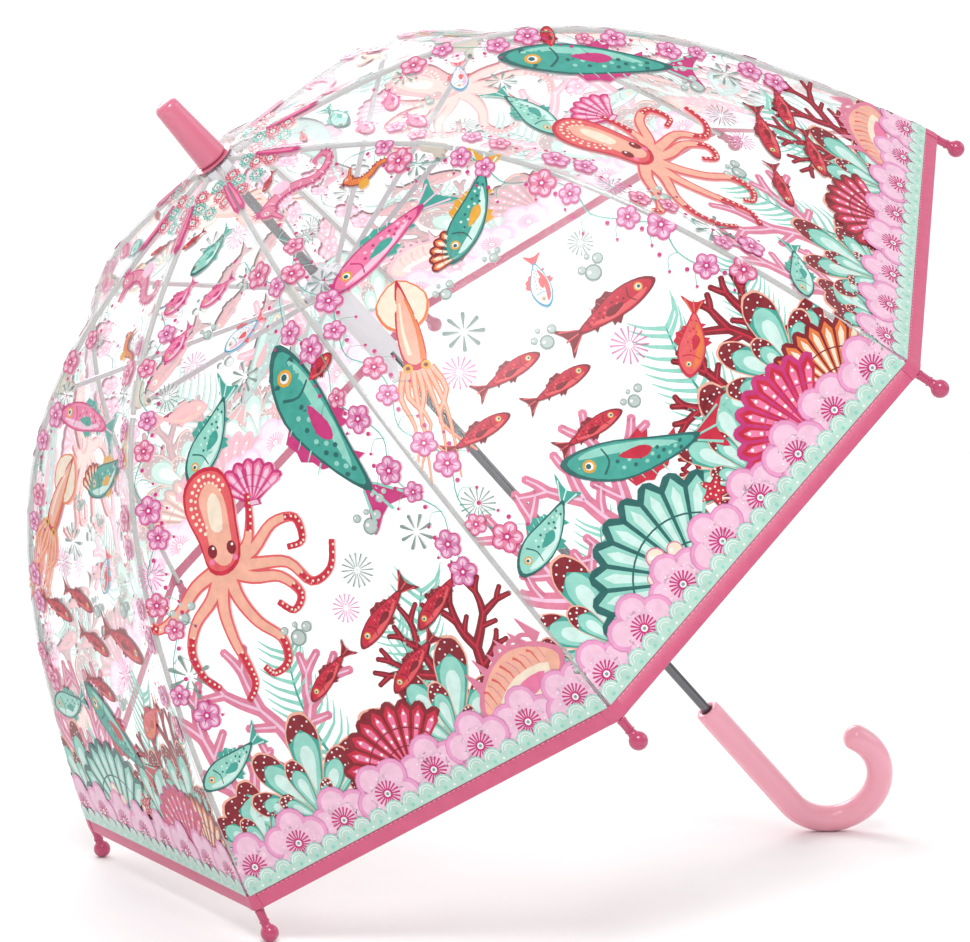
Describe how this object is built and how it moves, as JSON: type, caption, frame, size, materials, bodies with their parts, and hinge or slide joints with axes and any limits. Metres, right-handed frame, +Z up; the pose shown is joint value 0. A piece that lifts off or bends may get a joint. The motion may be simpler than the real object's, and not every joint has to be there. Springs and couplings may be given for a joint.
{
  "type": "children's dome umbrella",
  "caption": "Clear dome umbrella for a child with printed sea motifs, a sliding runner, folding ribs and a pink hook handle, open and resting on two rib tips and its hook.",
  "frame": {"origin": "centre of the footprint's bounding box, on the floor that the open umbrella rests on", "axes": "+Z up; the shaft lies in the XZ plane and slopes down towards +X, where the handle is; the ferrule points up and towards -X"},
  "size_m": [0.5672, 0.6692, 0.5365],
  "materials": {
    "polished_steel": "polished",
    "spring_steel": "satin",
    "grey_steel": "satin",
    "pink_plastic": "gloss",
    "pink_gloss_plastic": "gloss",
    "white_plastic": "satin",
    "frosted_plastic": "satin",
    "coated_rib": "satin",
    "clear_film": "clear gloss"
  },
  "bodies": {
    "umbrella_shaft": {"shaft_tube": "polished_steel", "ferrule": "pink_plastic", "canopy_cap": "pink_plastic", "top_notch": "white_plastic", "stop_ring": "white_plastic", "handle": "pink_gloss_plastic"},
    "runner": {"runner_crown": "frosted_plastic", "runner_sleeve": "frosted_plastic"},
    "open_catch": {"open_catch": "spring_steel"},
    "closed_catch": {"closed_catch": "spring_steel"},
    "rib_upper_1": {"rib_upper_1": "coated_rib"},
    "rib_lower_1": {"rib_lower_1": "coated_rib", "tip_1": "pink_plastic"},
    "stretcher_1": {"stretcher_1": "grey_steel"},
    "rib_upper_2": {"rib_upper_2": "coated_rib"},
    "rib_lower_2": {"rib_lower_2": "coated_rib", "tip_2": "pink_plastic"},
    "stretcher_2": {"stretcher_2": "grey_steel"},
    "rib_upper_3": {"rib_upper_3": "coated_rib"},
    "rib_lower_3": {"rib_lower_3": "coated_rib", "tip_3": "pink_plastic"},
    "stretcher_3": {"stretcher_3": "grey_steel"},
    "rib_upper_4": {"rib_upper_4": "coated_rib"},
    "rib_lower_4": {"rib_lower_4": "coated_rib", "tip_4": "pink_plastic"},
    "stretcher_4": {"stretcher_4": "grey_steel"},
    "rib_upper_5": {"rib_upper_5": "coated_rib"},
    "rib_lower_5": {"rib_lower_5": "coated_rib", "tip_5": "pink_plastic"},
    "stretcher_5": {"stretcher_5": "grey_steel"},
    "rib_upper_6": {"rib_upper_6": "coated_rib"},
    "rib_lower_6": {"rib_lower_6": "coated_rib", "tip_6": "pink_plastic"},
    "stretcher_6": {"stretcher_6": "grey_steel"},
    "rib_upper_7": {"rib_upper_7": "coated_rib"},
    "rib_lower_7": {"rib_lower_7": "coated_rib", "tip_7": "pink_plastic"},
    "stretcher_7": {"stretcher_7": "grey_steel"},
    "rib_upper_8": {"rib_upper_8": "coated_rib"},
    "rib_lower_8": {"rib_lower_8": "coated_rib", "tip_8": "pink_plastic"},
    "stretcher_8": {"stretcher_8": "grey_steel"},
    "gore_upper_1": {"gore_upper_1": "clear_film"},
    "gore_lower_1": {"gore_lower_1": "clear_film"},
    "gore_upper_2": {"gore_upper_2": "clear_film"},
    "gore_lower_2": {"gore_lower_2": "clear_film"},
    "gore_upper_3": {"gore_upper_3": "clear_film"},
    "gore_lower_3": {"gore_lower_3": "clear_film"},
    "gore_upper_4": {"gore_upper_4": "clear_film"},
    "gore_lower_4": {"gore_lower_4": "clear_film"},
    "gore_upper_5": {"gore_upper_5": "clear_film"},
    "gore_lower_5": {"gore_lower_5": "clear_film"},
    "gore_upper_6": {"gore_upper_6": "clear_film"},
    "gore_lower_6": {"gore_lower_6": "clear_film"},
    "gore_upper_7": {"gore_upper_7": "clear_film"},
    "gore_lower_7": {"gore_lower_7": "clear_film"},
    "gore_upper_8": {"gore_upper_8": "clear_film"},
    "gore_lower_8": {"gore_lower_8": "clear_film"}
  },
  "joints": [
    {"name": "runner_slide", "type": "slide", "parent": "umbrella_shaft", "child": "runner", "axis": [0.6913, 0, -0.7226], "range_m": [0, 0.2088], "deforming": ["gore_upper_1", "gore_lower_1", "gore_upper_2", "gore_lower_2", "gore_upper_3", "gore_lower_3", "gore_upper_4", "gore_lower_4", "gore_upper_5", "gore_lower_5", "gore_upper_6", "gore_lower_6", "gore_upper_7", "gore_lower_7", "gore_upper_8", "gore_lower_8"]},
    {"name": "open_catch_press", "type": "slide", "parent": "umbrella_shaft", "child": "open_catch", "axis": [0, 1, 0], "range_m": [0, 0.0024], "stiffness_N_per_m": 500, "springref_m": -0.0008},
    {"name": "closed_catch_press", "type": "slide", "parent": "umbrella_shaft", "child": "closed_catch", "axis": [0, 1, 0], "range_m": [0, 0.0024], "stiffness_N_per_m": 500, "springref_m": -0.0008},
    {"name": "rib_hinge_1", "type": "hinge", "parent": "umbrella_shaft", "child": "rib_upper_1", "pos_m": [-0.18259, 0.00459, 0.46051], "axis": [-0.2765, 0.9239, -0.2645], "range_deg": [0, 71.15]},
    {"name": "rib_bend_1", "type": "hinge", "parent": "rib_upper_1", "child": "rib_lower_1", "pos_m": [-0.04076, 0.06668, 0.5291], "axis": [-0.2765, 0.9239, -0.2645], "range_deg": [-35.44, 0]},
    {"name": "stretcher_hinge_1", "type": "hinge", "parent": "rib_upper_1", "child": "stretcher_1", "pos_m": [-0.04913, 0.06126, 0.51891], "axis": [-0.2765, 0.9239, -0.2645], "range_deg": [-140.73, 0]},
    {"name": "rib_hinge_2", "type": "hinge", "parent": "umbrella_shaft", "child": "rib_upper_2", "pos_m": [-0.18728, 0.01109, 0.45602], "axis": [-0.6676, 0.3827, -0.6387], "range_deg": [0, 71.15]},
    {"name": "rib_bend_2", "type": "hinge", "parent": "rib_upper_2", "child": "rib_lower_2", "pos_m": [-0.1089, 0.16098, 0.4639], "axis": [-0.6676, 0.3827, -0.6387], "range_deg": [-35.44, 0]},
    {"name": "stretcher_hinge_2", "type": "hinge", "parent": "rib_upper_2", "child": "stretcher_2", "pos_m": [-0.11173, 0.14789, 0.45902], "axis": [-0.6676, 0.3827, -0.6387], "range_deg": [-140.73, 0]},
    {"name": "rib_hinge_3", "type": "hinge", "parent": "umbrella_shaft", "child": "rib_upper_3", "pos_m": [-0.19392, 0.01109, 0.44967], "axis": [-0.6676, -0.3827, -0.6387], "range_deg": [0, 71.15]},
    {"name": "rib_bend_3", "type": "hinge", "parent": "rib_upper_3", "child": "rib_lower_3", "pos_m": [-0.20526, 0.16098, 0.37171], "axis": [-0.6676, -0.3827, -0.6387], "range_deg": [-35.44, 0]},
    {"name": "stretcher_hinge_3", "type": "hinge", "parent": "rib_upper_3", "child": "stretcher_3", "pos_m": [-0.20026, 0.14789, 0.37433], "axis": [-0.6676, -0.3827, -0.6387], "range_deg": [-140.73, 0]},
    {"name": "rib_hinge_4", "type": "hinge", "parent": "umbrella_shaft", "child": "rib_upper_4", "pos_m": [-0.19861, 0.00459, 0.44518], "axis": [-0.2765, -0.9239, -0.2645], "range_deg": [0, 71.15]},
    {"name": "rib_bend_4", "type": "hinge", "parent": "rib_upper_4", "child": "rib_lower_4", "pos_m": [-0.2734, 0.06668, 0.30652], "axis": [-0.2765, -0.9239, -0.2645], "range_deg": [-35.44, 0]},
    {"name": "stretcher_hinge_4", "type": "hinge", "parent": "rib_upper_4", "child": "stretcher_4", "pos_m": [-0.26286, 0.06126, 0.31444], "axis": [-0.2765, -0.9239, -0.2645], "range_deg": [-140.73, 0]},
    {"name": "rib_hinge_5", "type": "hinge", "parent": "umbrella_shaft", "child": "rib_upper_5", "pos_m": [-0.19861, -0.00459, 0.44518], "axis": [0.2765, -0.9239, 0.2645], "range_deg": [0, 71.15]},
    {"name": "rib_bend_5", "type": "hinge", "parent": "rib_upper_5", "child": "rib_lower_5", "pos_m": [-0.2734, -0.06668, 0.30652], "axis": [0.2765, -0.9239, 0.2645], "range_deg": [-35.44, 0]},
    {"name": "stretcher_hinge_5", "type": "hinge", "parent": "rib_upper_5", "child": "stretcher_5", "pos_m": [-0.26286, -0.06126, 0.31444], "axis": [0.2765, -0.9239, 0.2645], "range_deg": [-140.73, 0]},
    {"name": "rib_hinge_6", "type": "hinge", "parent": "umbrella_shaft", "child": "rib_upper_6", "pos_m": [-0.19392, -0.01109, 0.44967], "axis": [0.6676, -0.3827, 0.6387], "range_deg": [0, 71.15]},
    {"name": "rib_bend_6", "type": "hinge", "parent": "rib_upper_6", "child": "rib_lower_6", "pos_m": [-0.20526, -0.16098, 0.37171], "axis": [0.6676, -0.3827, 0.6387], "range_deg": [-35.44, 0]},
    {"name": "stretcher_hinge_6", "type": "hinge", "parent": "rib_upper_6", "child": "stretcher_6", "pos_m": [-0.20026, -0.14789, 0.37433], "axis": [0.6676, -0.3827, 0.6387], "range_deg": [-140.73, 0]},
    {"name": "rib_hinge_7", "type": "hinge", "parent": "umbrella_shaft", "child": "rib_upper_7", "pos_m": [-0.18728, -0.01109, 0.45602], "axis": [0.6676, 0.3827, 0.6387], "range_deg": [0, 71.15]},
    {"name": "rib_bend_7", "type": "hinge", "parent": "rib_upper_7", "child": "rib_lower_7", "pos_m": [-0.1089, -0.16098, 0.4639], "axis": [0.6676, 0.3827, 0.6387], "range_deg": [-35.44, 0]},
    {"name": "stretcher_hinge_7", "type": "hinge", "parent": "rib_upper_7", "child": "stretcher_7", "pos_m": [-0.11173, -0.14789, 0.45902], "axis": [0.6676, 0.3827, 0.6387], "range_deg": [-140.73, 0]},
    {"name": "rib_hinge_8", "type": "hinge", "parent": "umbrella_shaft", "child": "rib_upper_8", "pos_m": [-0.18259, -0.00459, 0.46051], "axis": [0.2765, 0.9239, 0.2645], "range_deg": [0, 71.15]},
    {"name": "rib_bend_8", "type": "hinge", "parent": "rib_upper_8", "child": "rib_lower_8", "pos_m": [-0.04076, -0.06668, 0.5291], "axis": [0.2765, 0.9239, 0.2645], "range_deg": [-35.44, 0]},
    {"name": "stretcher_hinge_8", "type": "hinge", "parent": "rib_upper_8", "child": "stretcher_8", "pos_m": [-0.04913, -0.06126, 0.51891], "axis": [0.2765, 0.9239, 0.2645], "range_deg": [-140.73, 0]},
    {"name": "gore_hinge_1", "type": "hinge", "parent": "umbrella_shaft", "child": "gore_upper_1", "pos_m": [-0.18494, 0.00784, 0.45827], "axis": [-0.5109, 0.7071, -0.4888], "range_deg": [0, 68.29]},
    {"name": "gore_bend_1", "type": "hinge", "parent": "gore_upper_1", "child": "gore_lower_1", "pos_m": [-0.07483, 0.11383, 0.4965], "axis": [-0.5109, 0.7071, -0.4888], "range_deg": [-34.52, 0]},
    {"name": "gore_hinge_2", "type": "hinge", "parent": "umbrella_shaft", "child": "gore_upper_2", "pos_m": [-0.1906, 0.01109, 0.45285], "axis": [-0.7226, 0, -0.6913], "range_deg": [0, 68.29]},
    {"name": "gore_bend_2", "type": "hinge", "parent": "gore_upper_2", "child": "gore_lower_2", "pos_m": [-0.15708, 0.16098, 0.41781], "axis": [-0.7226, 0, -0.6913], "range_deg": [-34.52, 0]},
    {"name": "gore_hinge_3", "type": "hinge", "parent": "umbrella_shaft", "child": "gore_upper_3", "pos_m": [-0.19627, 0.00784, 0.44743], "axis": [-0.5109, -0.7071, -0.4888], "range_deg": [0, 68.29]},
    {"name": "gore_bend_3", "type": "hinge", "parent": "gore_upper_3", "child": "gore_lower_3", "pos_m": [-0.23933, 0.11383, 0.33911], "axis": [-0.5109, -0.7071, -0.4888], "range_deg": [-34.52, 0]},
    {"name": "gore_hinge_4", "type": "hinge", "parent": "umbrella_shaft", "child": "gore_upper_4", "pos_m": [-0.19861, 0, 0.44518], "axis": [0, -1, 0], "range_deg": [0, 68.29]},
    {"name": "gore_bend_4", "type": "hinge", "parent": "gore_upper_4", "child": "gore_lower_4", "pos_m": [-0.2734, 0, 0.30652], "axis": [0, -1, 0], "range_deg": [-34.52, 0]},
    {"name": "gore_hinge_5", "type": "hinge", "parent": "umbrella_shaft", "child": "gore_upper_5", "pos_m": [-0.19627, -0.00784, 0.44743], "axis": [0.5109, -0.7071, 0.4888], "range_deg": [0, 68.29]},
    {"name": "gore_bend_5", "type": "hinge", "parent": "gore_upper_5", "child": "gore_lower_5", "pos_m": [-0.23933, -0.11383, 0.33911], "axis": [0.5109, -0.7071, 0.4888], "range_deg": [-34.52, 0]},
    {"name": "gore_hinge_6", "type": "hinge", "parent": "umbrella_shaft", "child": "gore_upper_6", "pos_m": [-0.1906, -0.01109, 0.45285], "axis": [0.7226, 0, 0.6913], "range_deg": [0, 68.29]},
    {"name": "gore_bend_6", "type": "hinge", "parent": "gore_upper_6", "child": "gore_lower_6", "pos_m": [-0.15708, -0.16098, 0.41781], "axis": [0.7226, 0, 0.6913], "range_deg": [-34.52, 0]},
    {"name": "gore_hinge_7", "type": "hinge", "parent": "umbrella_shaft", "child": "gore_upper_7", "pos_m": [-0.18494, -0.00784, 0.45827], "axis": [0.5109, 0.7071, 0.4888], "range_deg": [0, 68.29]},
    {"name": "gore_bend_7", "type": "hinge", "parent": "gore_upper_7", "child": "gore_lower_7", "pos_m": [-0.07483, -0.11383, 0.4965], "axis": [0.5109, 0.7071, 0.4888], "range_deg": [-34.52, 0]},
    {"name": "gore_hinge_8", "type": "hinge", "parent": "umbrella_shaft", "child": "gore_upper_8", "pos_m": [-0.18259, 0, 0.46051], "axis": [0, 1, 0], "range_deg": [0, 68.29]},
    {"name": "gore_bend_8", "type": "hinge", "parent": "gore_upper_8", "child": "gore_lower_8", "pos_m": [-0.04076, 0, 0.5291], "axis": [0, 1, 0], "range_deg": [-34.52, 0]}
  ],
  "couplings": [
    {"joint": "rib_hinge_1", "follows": "runner_slide", "rad_per_m": 5.9463},
    {"joint": "rib_bend_1", "follows": "runner_slide", "rad_per_m": -2.9617},
    {"joint": "stretcher_hinge_1", "follows": "runner_slide", "rad_per_m": -11.762},
    {"joint": "rib_hinge_2", "follows": "runner_slide", "rad_per_m": 5.9463},
    {"joint": "rib_bend_2", "follows": "runner_slide", "rad_per_m": -2.9617},
    {"joint": "stretcher_hinge_2", "follows": "runner_slide", "rad_per_m": -11.762},
    {"joint": "rib_hinge_3", "follows": "runner_slide", "rad_per_m": 5.9463},
    {"joint": "rib_bend_3", "follows": "runner_slide", "rad_per_m": -2.9617},
    {"joint": "stretcher_hinge_3", "follows": "runner_slide", "rad_per_m": -11.762},
    {"joint": "rib_hinge_4", "follows": "runner_slide", "rad_per_m": 5.9463},
    {"joint": "rib_bend_4", "follows": "runner_slide", "rad_per_m": -2.9617},
    {"joint": "stretcher_hinge_4", "follows": "runner_slide", "rad_per_m": -11.762},
    {"joint": "rib_hinge_5", "follows": "runner_slide", "rad_per_m": 5.9463},
    {"joint": "rib_bend_5", "follows": "runner_slide", "rad_per_m": -2.9617},
    {"joint": "stretcher_hinge_5", "follows": "runner_slide", "rad_per_m": -11.762},
    {"joint": "rib_hinge_6", "follows": "runner_slide", "rad_per_m": 5.9463},
    {"joint": "rib_bend_6", "follows": "runner_slide", "rad_per_m": -2.9617},
    {"joint": "stretcher_hinge_6", "follows": "runner_slide", "rad_per_m": -11.762},
    {"joint": "rib_hinge_7", "follows": "runner_slide", "rad_per_m": 5.9463},
    {"joint": "rib_bend_7", "follows": "runner_slide", "rad_per_m": -2.9617},
    {"joint": "stretcher_hinge_7", "follows": "runner_slide", "rad_per_m": -11.762},
    {"joint": "rib_hinge_8", "follows": "runner_slide", "rad_per_m": 5.9463},
    {"joint": "rib_bend_8", "follows": "runner_slide", "rad_per_m": -2.9617},
    {"joint": "stretcher_hinge_8", "follows": "runner_slide", "rad_per_m": -11.762},
    {"joint": "gore_hinge_1", "follows": "runner_slide", "rad_per_m": 5.7077},
    {"joint": "gore_bend_1", "follows": "runner_slide", "rad_per_m": -2.8848},
    {"joint": "gore_hinge_2", "follows": "runner_slide", "rad_per_m": 5.7077},
    {"joint": "gore_bend_2", "follows": "runner_slide", "rad_per_m": -2.8848},
    {"joint": "gore_hinge_3", "follows": "runner_slide", "rad_per_m": 5.7077},
    {"joint": "gore_bend_3", "follows": "runner_slide", "rad_per_m": -2.8848},
    {"joint": "gore_hinge_4", "follows": "runner_slide", "rad_per_m": 5.7077},
    {"joint": "gore_bend_4", "follows": "runner_slide", "rad_per_m": -2.8848},
    {"joint": "gore_hinge_5", "follows": "runner_slide", "rad_per_m": 5.7077},
    {"joint": "gore_bend_5", "follows": "runner_slide", "rad_per_m": -2.8848},
    {"joint": "gore_hinge_6", "follows": "runner_slide", "rad_per_m": 5.7077},
    {"joint": "gore_bend_6", "follows": "runner_slide", "rad_per_m": -2.8848},
    {"joint": "gore_hinge_7", "follows": "runner_slide", "rad_per_m": 5.7077},
    {"joint": "gore_bend_7", "follows": "runner_slide", "rad_per_m": -2.8848},
    {"joint": "gore_hinge_8", "follows": "runner_slide", "rad_per_m": 5.7077},
    {"joint": "gore_bend_8", "follows": "runner_slide", "rad_per_m": -2.8848}
  ]
}
